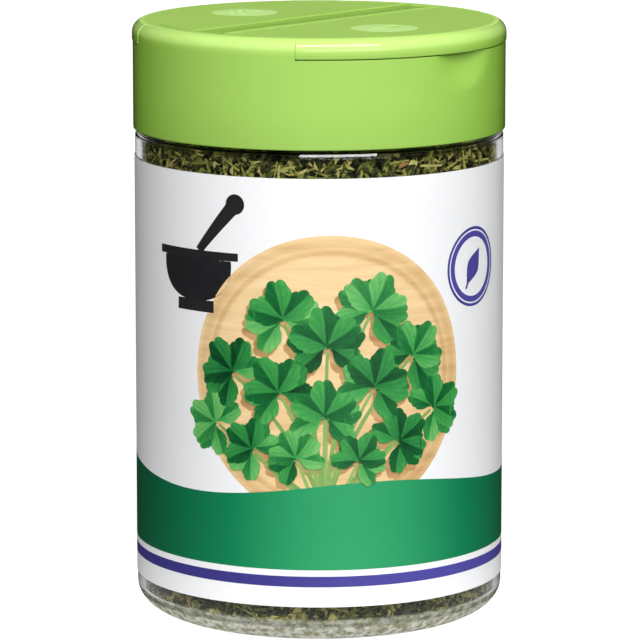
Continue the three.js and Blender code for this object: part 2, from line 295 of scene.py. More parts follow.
def clear_plastic():
    """Clear moulded plastic, hazy in the thick base, where the haze carries a painted image of the
    leaf seen through it and a painted shadow darkens the foot. Light for the leaf inside passes it
    without being bent."""
    material, tree, shader = node_material("clear_plastic", IOR=1.575, Transmission_Weight=1.0)
    add_bump(tree, shader, grain(tree, 90, 1.0), 0.25, 0.12)
    height = part_of(tree, own_place(tree), "Z")
    inside = between(tree, flat_reach(tree), JAR_INSIDE + 0.25, JAR_INSIDE + 0.05,
                     high=INSIDE_HAZE_RISE * MM)
    in_base = between(tree, worked(tree, "SUBTRACT", height, inside), HAZE_TOP_Z, HAZE_FULL_Z)
    # painted shadow: the plastic and its haze are darkened towards the foot, as a contact shadow
    # line
    foot_painted_shadow = between(tree, height, 0.25, 0.8, low=0.2)
    feed_named(tree, shader, Roughness=ranged(tree, in_base, 0, 1, 0.02, 0.22),
               Base_Color=mixed(tree, foot_painted_shadow, (0, 0, 0), CLEAR_TINT))
    haze = tree.nodes.new("ShaderNodeBsdfDiffuse")
    # the haze is mottled with a painted image of the leaf seen through the base
    haze_and_painted_leaf = toned(tree, grain(tree, 650, 4.0, 0.65), HAZE_AND_PAINTED_LEAF_TONES)
    feed_named(tree, haze, Color=mixed(tree, 1.0, haze_and_painted_leaf, foot_painted_shadow, "MULTIPLY"))
    body = mixed_shader(tree, worked(tree, "MULTIPLY", in_base, HAZE_SHARE),
                        shader.outputs["BSDF"], haze.outputs["BSDF"])
    clear = tree.nodes.new("ShaderNodeBsdfTransparent")
    feed_named(tree, clear, Color=CLEAR_SHADOW)
    in_shadow = tree.nodes.new("ShaderNodeLightPath").outputs["Is Shadow Ray"]
    feed_named(tree, tree.nodes["Material Output"],
               Surface=mixed_shader(tree, in_shadow, body, clear.outputs["BSDF"]))
    return material


shoulder_centre = (JAR_RADIUS - SHOULDER_ROUND, SHOULDER_Z - SHOULDER_ROUND)
jar = turn_up("jar_shell", [
    *arc(0, 0, DOME_RADIUS, 88, 0, 12, PUSH_UP),
    *arc(JAR_RADIUS - HEEL_REACH, HEEL_RISE, HEEL_REACH, -90, 0, 16, HEEL_RISE),
    *arc(*shoulder_centre, SHOULDER_ROUND, 0, 8, 2),
    *[(SLOPE_FOOT[0] * (1 - part) + SLOPE_HEAD[0] * part,
       SLOPE_FOOT[1] * (1 - part) + SLOPE_HEAD[1] * part) for part in (0.1, 0.5, 0.9)],
    *arc(*shoulder_centre, SHOULDER_ROUND, 55, 90, 5),
    (NECK_RADIUS + NECK_FOOT_ROUND, SHOULDER_Z),
    *arc(NECK_RADIUS + NECK_FOOT_ROUND, SHOULDER_Z + NECK_FOOT_ROUND, NECK_FOOT_ROUND, 260, 180, 3),
    *arc(NECK_RADIUS - RIM_ROUND, NECK_TOP_Z - RIM_ROUND, RIM_ROUND, 0, 90, 4),
    *arc(NECK_BORE + RIM_ROUND, NECK_TOP_Z - RIM_ROUND, RIM_ROUND, 90, 180, 4),
    (NECK_BORE, CEILING_Z + 0.5),
    *arc(JAR_INSIDE - CEILING_ROUND, CEILING_Z - CEILING_ROUND, CEILING_ROUND, 90, 0, 8),
    *arc(JAR_INSIDE - FLOOR_CORNER, FLOOR_Z + FLOOR_CORNER, FLOOR_CORNER, 0, -90, 12),
    *arc(0, FLOOR_Z, DOME_RADIUS, 0, 88, 8, FLOOR_CROWN),
])
join_or_cut(jar, wind_thread("jar_thread", NECK_RADIUS, THREAD_DEPTH, THREAD_MIDDLE_Z), "UNION")
smooth(jar, 40)
jar.data.materials.append(clear_plastic())
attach(jar, "jar_and_cap")
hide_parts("jar")

# ---------------------------------------------------------------- the dried leaf
# The jar is filled to its neck with crumbled coriander leaf: thin curled flakes a few millimetres
# across, some lobed, and straw-coloured bits of stem. A core of packed leaf, near-black as painted
# shade for the gaps, carries thousands of flakes, which lie against the wall and are pressed flat
# where they meet it. Deeper flakes are darker, as painted shade.
LEAF_TOP_Z = 96.8
CORE_DEPTH, CORE_GRAIN, CORE_SWAY, CORE_SHADED_TONE = 2.2, 260, 0.9, 0.08
WALL_CLEARANCE = 0.06
LEAF_TONES = [
    (0.0, (0.010, 0.012, 0.004)),
    (0.25, (0.045, 0.052, 0.012)),
    (0.5, (0.150, 0.155, 0.030)),
    (0.72, (0.290, 0.280, 0.065)),
    (0.88, (0.420, 0.360, 0.130)),
    (1.0, (0.240, 0.120, 0.045)),
]


def cavity_radius(height, clearance):
    """The jar's inside radius at each height (mm), less a clearance."""
    in_corner = np.clip(FLOOR_Z + FLOOR_CORNER - height, 0, FLOOR_CORNER)
    corner = JAR_INSIDE - FLOOR_CORNER + np.sqrt(FLOOR_CORNER ** 2 - in_corner ** 2)
    over = np.clip(height - (CEILING_Z - CEILING_ROUND), 0, CEILING_ROUND)
    shoulder = JAR_INSIDE - CEILING_ROUND + np.sqrt(CEILING_ROUND ** 2 - over ** 2)
    radius = np.where(height < FLOOR_Z + FLOOR_CORNER, corner, shoulder)
    return np.where(height > CEILING_Z - clearance, NECK_BORE, radius) - clearance


def own_tone(tree):
    """The tone that each flake or printed part carries."""
    tone = tree.nodes.new("ShaderNodeAttribute")
    tone.attribute_name = "tone"
    return tone.outputs["Fac"]


def dried_leaf():
    """Dry leaf: each flake has its own tone from olive to straw, mottled and matte. Deeper flakes
    and the core are darker, as painted shade.
    """
    material, tree, shader = node_material(
        "dried_leaf", Roughness=0.75, Specular_IOR_Level=0.12)
    mottle = grain(tree, 1400, 3.0, 0.6)
    level = worked(tree, "MULTIPLY_ADD", mottle, 0.3, own_tone(tree))
    feed_named(tree, shader, Base_Color=toned(tree, worked(tree, "ADD", level, -0.15), LEAF_TONES))
    add_bump(tree, shader, mottle, 0.6, 0.15)
    return material


def give_tones(mesh, tones):
    tone = mesh.attributes.new("tone", "FLOAT", "POINT")
    tone.data.foreach_set("value", np.asarray(tones).astype(np.float32))


def toned_piece(name, corners, faces, tones):
    """A piece from corners in metres, its faces, and a tone for each corner."""
    mesh = bpy.data.meshes.new(name)
    mesh.from_pydata(corners.tolist(), [], faces)
    give_tones(mesh, tones)
    piece = bpy.data.objects.new(name, mesh)
    bpy.context.scene.collection.objects.link(piece)
    return piece


leaf_material = dried_leaf()
core_side = JAR_INSIDE - CORE_DEPTH
core = turn_up("leaf_core", [
    (1, FLOOR_Z + FLOOR_CROWN + 1),
    (14, FLOOR_Z + FLOOR_CROWN + 0.8),
    *arc(JAR_INSIDE - FLOOR_CORNER - CORE_DEPTH, FLOOR_Z + FLOOR_CORNER + 1,
         FLOOR_CORNER, -90, 0, 5),
    *[(core_side, height) for height in range(12, 88, 4)],
    (core_side, CEILING_Z - 3),
    (core_side - 3, CEILING_Z - 1.2),
    (NECK_BORE - 2, CEILING_Z + 1),
    (NECK_BORE - 2, LEAF_TOP_Z - 3),
    (NECK_BORE - 6, LEAF_TOP_Z - 1.6),
    *[(radius, LEAF_TOP_Z - 1.2) for radius in (18, 14, 10, 6, 3, 1)],
])
noise.seed_set(11)
for corner in core.data.vertices:
    corner.co += CORE_SWAY * MM * noise.noise_vector(corner.co * CORE_GRAIN)
# painted shade: the core is near-black so that the gaps between flakes read as shade
give_tones(core.data, np.full(len(core.data.vertices), CORE_SHADED_TONE))
core.data.materials.append(leaf_material)
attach(core, "jar_and_cap")
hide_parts("dried_leaves")


def taken_apart(piece):
    """The corners and faces of a piece, which is then removed."""
    corners = np.array([corner.co for corner in piece.data.vertices])
    faces = [tuple(face.vertices) for face in piece.data.polygons]
    bpy.data.objects.remove(piece)
    return corners, faces


def model_flake(outline, fold, curl):
    """One thin closed flake about 2 across: a flat cone with a lobed edge, folded and curled."""
    deselect_all()
    bpy.ops.mesh.primitive_cone_add(
        vertices=len(outline), radius1=1, radius2=0, depth=0.16, end_fill_type="TRIFAN")
    corners, faces = taken_apart(bpy.context.object)
    for corner in corners:
        x, y, z = corner
        if math.hypot(x, y) > 0.5:
            spot = round((math.atan2(y, x) % (2 * math.pi)) / (2 * math.pi) * len(outline))
            stretch = outline[spot % len(outline)]
            x, y = x * stretch, y * stretch * 0.72
        corner[:] = x, y, z + (fold * abs(y) + curl * x * x)
    return corners, np.array(faces)


def model_stem():
    """One bit of dry stem 2 long: a slim five-sided rod with a slight bow."""
    deselect_all()
    bpy.ops.mesh.primitive_cylinder_add(
        vertices=5, radius=0.09, depth=2, end_fill_type="TRIFAN", rotation=(0, math.pi / 2, 0))
    bpy.ops.object.transform_apply()
    edit_all()
    bpy.ops.mesh.quads_convert_to_tris()
    bpy.ops.object.mode_set(mode="OBJECT")
    corners, faces = taken_apart(bpy.context.object)
    corners[:, 2] += 0.12 * corners[:, 0] ** 2
    return corners, np.array(faces)


FLAKE_SHAPES = [
    model_flake([1.5, 0.5, 0.7, 0.45, 1.2, 0.5, 0.6], 0.5, 0.22),
    model_flake([1.3, 0.6, 1.0, 0.4, 1.1, 0.45, 0.9, 0.5, 0.7], 0.4, -0.28),
    model_flake([1.6, 0.45, 0.3, 1.4, 0.4, 0.35], -0.7, 0.3),
    model_flake([1.1, 0.6, 0.5, 1.0, 0.5], 0.9, 0.2),
    model_flake([1.8, 0.3, 0.4, 0.35, 1.5, 0.3, 0.45], 0.8, -0.25),
    model_flake([1.2, 0.35, 0.8, 0.3, 1.0, 0.5], -0.4, 0.4),
]
STEM_SHAPE = [model_stem()]
draw = random.Random(11)


def side_spots(count, low, high):
    """Seeded places against the wall between two heights, with the way out of the leaf mass."""
    spots = []
    for _ in range(count):
        turn = draw.uniform(0, 2 * math.pi)
        height = draw.uniform(low, high)
        deep = draw.random() ** 1.6
        radius = float(cavity_radius(np.float64(height), 0.3)) - 2.2 * deep
        out = (math.cos(turn), math.sin(turn), 0)
        spots.append(((radius * out[0], radius * out[1], height), out, deep))
    return spots


def disc_spots(count, radius, height, facing, sag):
    """Seeded places over the top or the bottom of the leaf mass."""
    spots = []
    for _ in range(count):
        turn = draw.uniform(0, 2 * math.pi)
        reach = radius * math.sqrt(draw.random())
        deep = draw.random() ** 1.6
        level = height - facing * (2.0 * deep + sag * (reach / radius) ** 2)
        place = (reach * math.cos(turn), reach * math.sin(turn), level)
        spots.append((place, (0, 0, facing), deep))
    return spots


def scatter(name, shapes, spots, sizes, lean, tones):
    """One piece of many flakes: each is a copy of a shape, turned, sized and kept in the jar."""
    all_corners, all_faces, all_tones = [], [], []
    start = 0
    for place, out, deep in spots:
        corners, faces = draw.choice(shapes)
        normal = Vector(out) + lean * Vector((draw.gauss(0, 1), draw.gauss(0, 1), draw.gauss(0, 1)))
        turn = Vector((0, 0, 1)).rotation_difference(normal.normalized()).to_matrix()
        spin = draw.uniform(0, 2 * math.pi)
        size = draw.uniform(*sizes)
        c, s = math.cos(spin) * size, math.sin(spin) * size
        spun = np.column_stack((
            corners[:, 0] * c - corners[:, 1] * s,
            corners[:, 0] * s + corners[:, 1] * c,
            corners[:, 2] * size))
        placed = spun @ np.array(turn).T + np.array(place)
        clearance = WALL_CLEARANCE + 0.35 * draw.random()
        limit = cavity_radius(placed[:, 2], clearance)
        reach = np.hypot(placed[:, 0], placed[:, 1])
        squeeze = np.minimum(1, limit / np.maximum(reach, 0.01))
        placed[:, :2] *= squeeze[:, None]
        floor = FLOOR_Z + FLOOR_CROWN * np.sqrt(np.clip(1 - (reach / DOME_RADIUS) ** 2, 0, 1))
        placed[:, 2] = np.maximum(placed[:, 2], floor + clearance)
        all_corners.append(placed)
        all_faces.append(faces + start)
        low, high = tones
        tone = low + (high - low) * draw.random() ** 1.2
        if draw.random() > 0.95:
            tone = draw.uniform(0.85, 1.0)
        # painted shade: the deeper a flake lies in the mass, the darker its tone
        all_tones.append(np.full(len(corners), tone * (1 - 0.75 * deep)))
        start += len(corners)
    piece = toned_piece(name, np.concatenate(all_corners) * MM,
                        np.concatenate(all_faces).tolist(), np.concatenate(all_tones))
    piece.data.materials.append(leaf_material)
    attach(piece, "jar_and_cap")
    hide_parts("dried_leaves")


scatter("leaf_flakes_low", FLAKE_SHAPES,
        side_spots(4600, 3.6, 10.5) + disc_spots(3600, 31, 4.8, -1, 0.6),
        (0.5, 1.5), 0.8, (0.0, 0.95))
scatter("leaf_flakes_middle", FLAKE_SHAPES, side_spots(5200, 9, 84),
        (1.2, 2.6), 0.3, (0.05, 0.85))
scatter("leaf_flakes_high", FLAKE_SHAPES,
        side_spots(5200, 82, 92) + disc_spots(3600, 27.4, LEAF_TOP_Z, 1, 1.4),
        (0.5, 1.5), 0.8, (0.0, 0.95))
scatter("stem_bits", STEM_SHAPE,
        side_spots(240, 4.4, 10.5) + side_spots(320, 82, 92)
        + disc_spots(200, 27, LEAF_TOP_Z, 1, 1.4) + disc_spots(120, 29, 5.2, -1, 0.9),
        (1.2, 3.2), 0.25, (0.6, 0.9))

# ---------------------------------------------------------------- the label
# One strip of white varnished film is wrapped round the jar's straight wall. Its end lies over its
# start in a narrow lap at the back.
LABEL_BOTTOM_Z, LABEL_TOP_Z = 7.6, 87.4
LABEL_ROLL_RADIUS = 35.0
FILM_INNER, FILM_THICK = 34.8, 0.09
LAP_START, LAP_CLIMB, LAP_END = 172.0, 7.0, 190.0
LAP_RISE = 0.105
FILM_WHITES = (0.80, 0.805, 0.815), (0.83, 0.835, 0.845)


def wrapped(corners):
    """Flat places (mm: along the label, up it, off its back) rolled round the jar, in metres."""
    turn = corners[:, 0] / LABEL_ROLL_RADIUS
    climb = np.clip((np.degrees(turn) - LAP_START) / LAP_CLIMB, 0, 1)
    reach = FILM_INNER + LAP_RISE * climb * climb * (3 - 2 * climb) + corners[:, 2]
    return np.column_stack((reach * np.sin(turn), -reach * np.cos(turn), corners[:, 1])) * MM


def flat_strip(steps):
    """A grid one cell wide: places along it (0 to 1), which side of it (-1 or 1), and its faces."""
    deselect_all()
    bpy.ops.mesh.primitive_grid_add(x_subdivisions=steps, y_subdivisions=1, size=2)
    corners, faces = taken_apart(bpy.context.object)
    return corners[:, 0] / 2 + 0.5, np.sign(corners[:, 1]), faces


def once_round(steps):
    """A strip right round the jar and over the lap: each corner's turn and side, and the faces."""
    along, side, faces = flat_strip(steps)
    return np.radians(-180 + (180 + LAP_END) * along), side, faces


def strip_corners(turn, side, bottom, top, off):
    return np.column_stack((turn * LABEL_ROLL_RADIUS, np.where(side > 0, top, bottom),
                            np.full(len(turn), off)))


def label_piece(name, parts, thickness, material):
    """Flat parts (corners, faces, tones) joined, rolled round the jar and given their thickness."""
    all_corners, part_faces, all_tones = zip(*parts)
    all_faces, start = [], 0
    for corners, faces in zip(all_corners, part_faces):
        all_faces.extend(tuple(corner + start for corner in face) for face in faces)
        start += len(corners)
    piece = toned_piece(name, wrapped(np.concatenate(all_corners)), all_faces,
                        np.concatenate(all_tones))
    pick(piece)
    walls = piece.modifiers.new("walls", "SOLIDIFY")
    walls.thickness = thickness * MM
    walls.offset = -1
    bpy.ops.object.modifier_apply(modifier=walls.name)
    piece.data.materials.append(material)
    smooth(piece, 40)
    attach(piece, "jar_and_cap")
    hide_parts("label")


def varnished(name):
    """Printed film under clear varnish, with the faint waviness of film laid over plastic."""
    material, tree, shader = node_material(name, Roughness=0.34, IOR=1.46)
    add_bump(tree, shader, grain(tree, 160, 2.0), 0.12, 0.05)
    return material, tree, shader


film_material, tree, shader = varnished("white_film")
feed_named(tree, shader, Base_Color=mixed(tree, grain(tree, 900, 4.0, 0.6), *FILM_WHITES))
turn, side, faces = once_round(296)
film = strip_corners(turn, side, LABEL_BOTTOM_Z, LABEL_TOP_Z, FILM_THICK)
label_piece("label_film", [(film, faces, np.zeros(len(turn)))], FILM_THICK, film_material)

# ---------------------------------------------------------------- the printing on the label
# A plain printed design of the printer's stock kind: a green band with a wavy top and a violet
# stripe run right round the foot, and a sprig of leaf lies over a round wooden board. A ring badge
# and a mortar and pestle stand beside them. Every ink is a thin layer on the film.
INK_THICK, INK_LIFT, INK_STEP = 0.02, 0.012, 0.004


def ink(name, stops, grains, share, stretch=(1, 1, 1)):
    """A printed ink whose colour follows each part's tone, with a share of grain mixed in."""
    material, tree, shader = varnished(name)
    mapping = tree.nodes.new("ShaderNodeMapping")
    feed_named(tree, mapping, Vector=own_place(tree), Scale=stretch)
    speckle = grain(tree, grains, 3.0, 0.6, mapping.outputs["Vector"])
    centred = worked(tree, "SUBTRACT", speckle, 0.5)
    level = worked(tree, "MULTIPLY_ADD", centred, share, own_tone(tree))
    feed_named(tree, shader, Base_Color=toned(tree, level, stops))
    return material


def ringed_disc(spokes, rings):
    """A flat disc with even rings: its corners' turns (radians) and reaches (0 to 1), its faces."""
    deselect_all()
    bpy.ops.mesh.primitive_circle_add(vertices=spokes, radius=1, fill_type="NGON")
    disc = bpy.context.object
    edit_all()
    for ring in range(rings, 1, -1):
        bpy.ops.mesh.extrude_region_move()
        keep = (ring - 1) / ring
        bpy.ops.transform.resize(value=(keep, keep, 1), center_override=(0, 0, 0))
    bpy.ops.mesh.poke()
    bpy.ops.object.mode_set(mode="OBJECT")
    upright = [face.normal.z > 0 for face in disc.data.polygons]
    corners, faces = taken_apart(disc)
    faces = [face if up else face[::-1] for face, up in zip(faces, upright)]
    return np.arctan2(corners[:, 1], corners[:, 0]), np.hypot(corners[:, 0], corners[:, 1]), faces


def ink_off(layer):
    """How far off the label's back a layer of ink lies, in mm."""
    return FILM_THICK + INK_LIFT + INK_STEP * layer


def patch(disc, outline, place, heading, layer, tone):
    """A disc stretched to an outline (mm for a turn in radians), at its place and layer."""
    turn, reach, faces = disc
    out = outline(turn) * reach
    along = place[0] + out * np.cos(turn + heading)
    up = place[1] + out * np.sin(turn + heading)
    return (np.column_stack((along, up, np.full(len(turn), ink_off(layer)))), faces,
            tone(turn, reach))


def round_edge(radius):
    return lambda turn: np.full(len(turn), radius)


def even(value):
    return lambda turn, reach: np.full(len(turn), value)


def stroke(path, widths, layer, tone):
    """A line of ink along a path of (along, up) points, with a width at each point, in mm."""
    path, widths = np.array(path), np.array(widths)
    along, side, faces = flat_strip(len(path) - 1)
    step = np.rint(along * (len(path) - 1)).astype(int)
    way = np.gradient(path, axis=0)
    way /= np.hypot(way[:, 0], way[:, 1])[:, None]
    edge = np.column_stack((-way[:, 1], way[:, 0]))[step] * (side * widths[step] / 2)[:, None]
    off = np.full(len(step), ink_off(layer))
    return np.column_stack((path[step] + edge, off)), faces, np.full(len(step), float(tone))


def bow(start, middle, end, steps):
    """Points along a bowed line that leaves start towards middle and comes to end."""
    points = []
    for i in range(steps + 1):
        t = i / steps
        points.append([(1 - t) ** 2 * a + 2 * t * (1 - t) * b + t * t * c
                       for a, b, c in zip(start, middle, end)])
    return points


# the green band and the violet stripe
BAND_BOTTOM_Z, BAND_TOP_Z, BAND_WAVE = 14.6, 29.5, 1.5
STRIPE_BOTTOM_Z, STRIPE_TOP_Z = 11.4, 13.4
turn, side, faces = once_round(444)
band_top = BAND_TOP_Z + BAND_WAVE * np.sin(3 * turn + 0.6)
band = strip_corners(turn, side, BAND_BOTTOM_Z, band_top, ink_off(3))
green_ink = ink("green_ink", [(0.0, (0.002, 0.085, 0.035)), (0.6, (0.004, 0.19, 0.075)),
                              (1.0, (0.03, 0.33, 0.13))], 500, 0.06)
label_piece("print_band", [(band, faces, 0.5 + 0.42 * np.sin(2 * turn + 1.2))], INK_THICK,
            green_ink)
stripe = strip_corners(turn, side, STRIPE_BOTTOM_Z, STRIPE_TOP_Z, ink_off(3))
violet_ink = ink("violet_ink", [(0.0, (0.035, 0.03, 0.18)), (1.0, (0.085, 0.075, 0.36))], 500, 0.1)
label_piece("print_stripe", [(stripe, faces, 0.4 + 0.3 * np.sin(2 * turn))], INK_THICK, violet_ink)

# the round board
BOARD_CENTRE, BOARD_RADIUS = (2.0, 50.5), 26.5


def board_tone(turn, reach):
    """A raised rim with a groove inside it, lit from one side."""
    rim = np.clip((reach - 0.9) / 0.03, 0, 1) * np.clip((0.995 - reach) / 0.03, 0.35, 1)
    groove = np.exp(-((reach - 0.88) / 0.02) ** 2)
    return 0.62 - 0.22 * rim - 0.35 * groove + 0.1 * np.cos(turn - 2.2) * reach


wood_ink = ink("wood_ink", [(0.0, (0.36, 0.20, 0.075)), (0.35, (0.62, 0.40, 0.18)),
                            (0.7, (0.80, 0.58, 0.31)), (1.0, (0.88, 0.72, 0.47))],
               260, 0.75, (0.25, 0.25, 2.2))
board = patch(ringed_disc(192, 54), round_edge(BOARD_RADIUS), BOARD_CENTRE, 0, 0, board_tone)
label_piece("print_board", [board], INK_THICK, wood_ink)

# the sprig: stems that fan out from behind the band, each with a leaf of three lobed leaflets;
# a leaf has its place along and up the label and its length, in mm, and its heading, in degrees
SPRIG_FOOT = (1.0, 26.0)
LOBE_SPREAD = math.radians(62)
LEAFLET_SPREAD = math.radians(64)
SPRIG_LEAVES = [
    (-19.5, 41.0, 6.0, 154), (22.0, 43.5, 6.2, 26), (-16.0, 50.5, 6.6, 132), (17.5, 53.5, 6.6, 50),
    (-6.5, 60.5, 7.0, 108), (9.5, 62.0, 7.0, 70), (1.5, 55.5, 7.2, 92), (-12.0, 36.5, 5.8, 146),
    (14.5, 38.0, 6.0, 34), (-7.0, 47.0, 6.8, 116), (10.0, 48.0, 6.8, 64), (1.0, 42.5, 6.6, 88),
    (-4.0, 35.0, 5.2, 118), (7.0, 34.5, 5.2, 58),
]


def leaflet_outline(length):
    """A fan-shaped leaflet from its stalk: three lobes, each with small teeth."""
    def outline(turn):
        lobes = np.abs(np.cos(math.pi * turn / LOBE_SPREAD)) ** 0.5
        teeth = np.abs(np.cos(math.pi * (turn / LOBE_SPREAD * 3 + 0.5))) ** 0.7
        reach = length * (0.50 + 0.42 * lobes + 0.09 * teeth) * (1 - 0.16 * (turn / 1.9) ** 2)
        back = np.clip((np.abs(turn) - 1.62) / 0.5, 0, 1)
        return reach * (1 - 0.86 * back)
    return outline


def leaflet_tone(shade, sheen):
    """Lighter on one half of every lobe and along its vein, darker in towards the stalk."""
    def tone(turn, reach):
        lobe = np.rint(np.clip(turn / LOBE_SPREAD, -1, 1)) * LOBE_SPREAD
        across = (turn - lobe) / (LOBE_SPREAD / 2)
        vein = np.exp(-(across / 0.09) ** 2) * (1 - 0.6 * reach)
        ribs = 0.06 * np.cos(across * 14 - reach * 9)
        fold = sheen * 0.16 * np.tanh(across * 6)
        return shade + fold + ribs + 0.34 * vein + 0.20 * (reach - 0.6)
    return tone


leaf_disc = ringed_disc(96, 8)
sprig_draw = random.Random(5)
stems, leaves, shadows = [], [], []
for number, (along, up, length, heading) in enumerate(SPRIG_LEAVES):
    knee = (SPRIG_FOOT[0] + 0.35 * (along - SPRIG_FOOT[0]), up - 9)
    line = bow(SPRIG_FOOT, knee, (along, up), 26)
    stems.append(stroke(line, np.linspace(0.95, 0.55, 27), 2, 0.55 + 0.02 * number))
    for way in (-1, 1, 0):
        sway = sprig_draw.uniform(-0.12, 0.12)
        lean = math.radians(heading) + way * LEAFLET_SPREAD + sway
        reach = length * (1.05 if way == 0 else 0.92)
        stalk = 0.16 * length
        place = (along + stalk * math.cos(lean), up + stalk * math.sin(lean))
        shade = sprig_draw.uniform(0.22, 0.62)
        off_centre = math.hypot(place[0] - BOARD_CENTRE[0], place[1] - BOARD_CENTRE[1])
        if off_centre < BOARD_RADIUS - 1.3 * reach:
            shadows.append(patch(leaf_disc, leaflet_outline(reach),
                                 (place[0] - 0.7, place[1] - 1.1), lean, 1, even(0.12)))
        leaves.append(patch(leaf_disc, leaflet_outline(reach), place, lean, 4 + len(leaves),
                            leaflet_tone(shade, sprig_draw.choice((-1, 1)))))
stem_ink = ink("stem_ink", [(0.0, (0.03, 0.13, 0.02)), (1.0, (0.30, 0.48, 0.14))], 700, 0.3)
leaf_ink = ink("leaf_ink", [(0.0, (0.002, 0.035, 0.010)), (0.3, (0.008, 0.13, 0.030)),
                            (0.6, (0.045, 0.30, 0.065)), (0.85, (0.17, 0.48, 0.14)),
                            (1.0, (0.42, 0.68, 0.30))], 900, 0.18)
label_piece("print_shadows", shadows, INK_THICK, wood_ink)
label_piece("print_stems", stems, INK_THICK, stem_ink)
label_piece("print_leaves", leaves, INK_THICK, leaf_ink)

# the ring badge: two violet rings round a plain leaf
BADGE_CENTRE = (33.5, 69.0)


def ring(centre, radius, width, tone, steps=48):
    turns = [2 * math.pi * i / steps for i in range(steps + 1)]
    path = [(centre[0] + radius * math.cos(t), centre[1] + radius * math.sin(t)) for t in turns]
    return stroke(path, np.full(steps + 1, width), 0, tone)


def plain_leaf(length, width):
    """A plain pointed leaf about its own middle."""
    def outline(turn):
        across, way = np.abs(np.sin(turn)), np.abs(np.cos(turn))
        return length * width / (length * across + width * way + 1e-6) * (1 + 0.25 * across * way)
    return outline


badge = [
    ring(BADGE_CENTRE, 7.2, 0.55, 0.5),
    ring(BADGE_CENTRE, 6.1, 1.1, 0.7),
    patch(ringed_disc(48, 5), plain_leaf(3.9, 1.9), BADGE_CENTRE, math.radians(58), 0, even(0.6)),
    stroke(bow((31.2, 65.0), (32.4, 67.0), (33.0, 68.2), 5), np.full(6, 0.5), 1, 0.6),
]
label_piece("print_badge", badge, INK_THICK, violet_ink)

# the mortar and pestle, in near-black
MORTAR_CENTRE = (-25.0, 70.5)
BOWL_RADIUS, BOWL_RIM_RISE, BOWL_FLATTENED = 8.2, 1.2, 1.4


def bowl_outline(turn):
    """A round-bottomed bowl with a flat top, about its own middle."""
    up = np.sin(turn)
    flat = BOWL_RIM_RISE / np.maximum(up, 0.1)
    return np.minimum(np.where(up > 0, flat, BOWL_RADIUS),
                      BOWL_RADIUS - BOWL_FLATTENED * np.clip(-up, 0, 1) ** 3)


x, z = MORTAR_CENTRE
foot = [(x - 4.4 + 0.55 * i, z - 7.7) for i in range(17)]
rim_line = [(x - 9.6 + 0.8 * i, z + 1.9) for i in range(25)]
pestle = bow((x + 1.0, z + 2.6), (x + 4.6, z + 6.8), (x + 8.4, z + 11.0), 10)
mortar = [
    patch(ringed_disc(144, 8), bowl_outline, MORTAR_CENTRE, 0, 0, even(0.4)),
    stroke(rim_line, np.full(25, 1.5), 1, 0.5),
    stroke(foot, np.full(17, 2.2), 1, 0.5),
    stroke(pestle, np.linspace(1.6, 2.8, 11), 1, 0.5),
    patch(ringed_disc(48, 3), round_edge(1.9), (x + 9.0, z + 11.7), 0, 2, even(0.45)),
]
black_ink = ink("black_ink", [(0.0, (0.006, 0.006, 0.008)), (1.0, (0.03, 0.028, 0.03))], 400, 0.5)
label_piece("print_mortar", mortar, INK_THICK, black_ink)

# ---------------------------------------------------------------- the cap
# The cap is one green moulding that screws on the neck: a crown round a flat deck, a straight
# skirt, an inner ring with the thread, and a plug ring that seals the bore. A bar crosses the deck
# between the two flaps, and each flap has its seat in the crown and a thumb scallop below it.
CAP_RADIUS, CAP_BOTTOM_Z, CAP_TOP_Z, CAP_EDGE_ROUND = 35.1, 92.5, 112.9, 2.3
SKIRT_INNER, SLOT_TOP_Z = 33.9, 103.2
THREAD_RING_OUTER, THREAD_RING_INNER, THREAD_RING_BOTTOM_Z = 32.8, 31.6, 93.4
CAP_THREAD_DROP = 1.75
PLUG_OUTER, PLUG_INNER, PLUG_BOTTOM_Z = 27.9, 26.9, 106.3
DECK_TOP_Z, DECK_BOTTOM_Z = 110.9, 109.3
CROWN_INNER = 31.3
LEDGE_Z, LEDGE_INNER = 109.0, 33.0
LIP_HALF_ANGLE, LIP_SIDE_GAP = 56.2, 0.45
BAR_HALF_WIDTH, BAR_EDGE_Z, BAR_TOP_Z = 3.0, 112.5, 112.6
POUR_DIRECTION, SHAKER_DIRECTION = -40.5, 139.5
POUR_STRAIGHT_EDGE, POUR_RADIUS = 6.5, 25.0
SHAKER_HOLE_RADIUS, SHAKER_PEG_RADIUS = 2.5, 1.9
SHAKER_PLACES = [(10, -15), (10, -5), (10, 5), (10, 15), (18.5, -10), (18.5, 0), (18.5, 10)]
NOTCH_HALF_WIDTH, NOTCH_DEPTH, NOTCH_HEIGHT = 8.0, 1.4, 7.0
MARK_RADIUS, MARK_TOP_Z = 6.3, 113.1
POUR_MARK, SHAKER_MARK = (19.9, -4.9), (17.6, 1.3)
# Painted light on the cap: the top green is a little darker than the wall's as painted shade, the
# roll green is lighter as a painted highlight, and the groove green darker as painted shade.
WALL_GREEN, TOP_GREEN_PAINTED_SHADE = (0.342, 0.572, 0.117), (0.340, 0.552, 0.108)
ROLL_GREEN_PAINTED_HIGHLIGHT, GROOVE_GREEN_PAINTED_SHADE = (0.462, 0.708, 0.172), (0.255, 0.425, 0.078)
FROSTED_GREEN, COAT_GREEN = (0.47, 0.70, 0.23), (0.82, 0.94, 0.55)


def turned(forward, across, height, direction):
    """Where a place (in mm: forward, across, up) lies, in metres, once turned to face a way."""
    turn = math.radians(direction)
    return ((forward * math.cos(turn) - across * math.sin(turn)) * MM,
            (forward * math.sin(turn) + across * math.cos(turn)) * MM, height * MM)


def slab(name, outline, bottom, top, direction=0.0):
    """A flat outline of (forward, across) points raised between two heights, facing a way."""
    piece = flat_face(name, [turned(*point, bottom, direction) for point in outline])
    draw_out((0, 0, (top - bottom) * MM))
    close_up()
    return piece


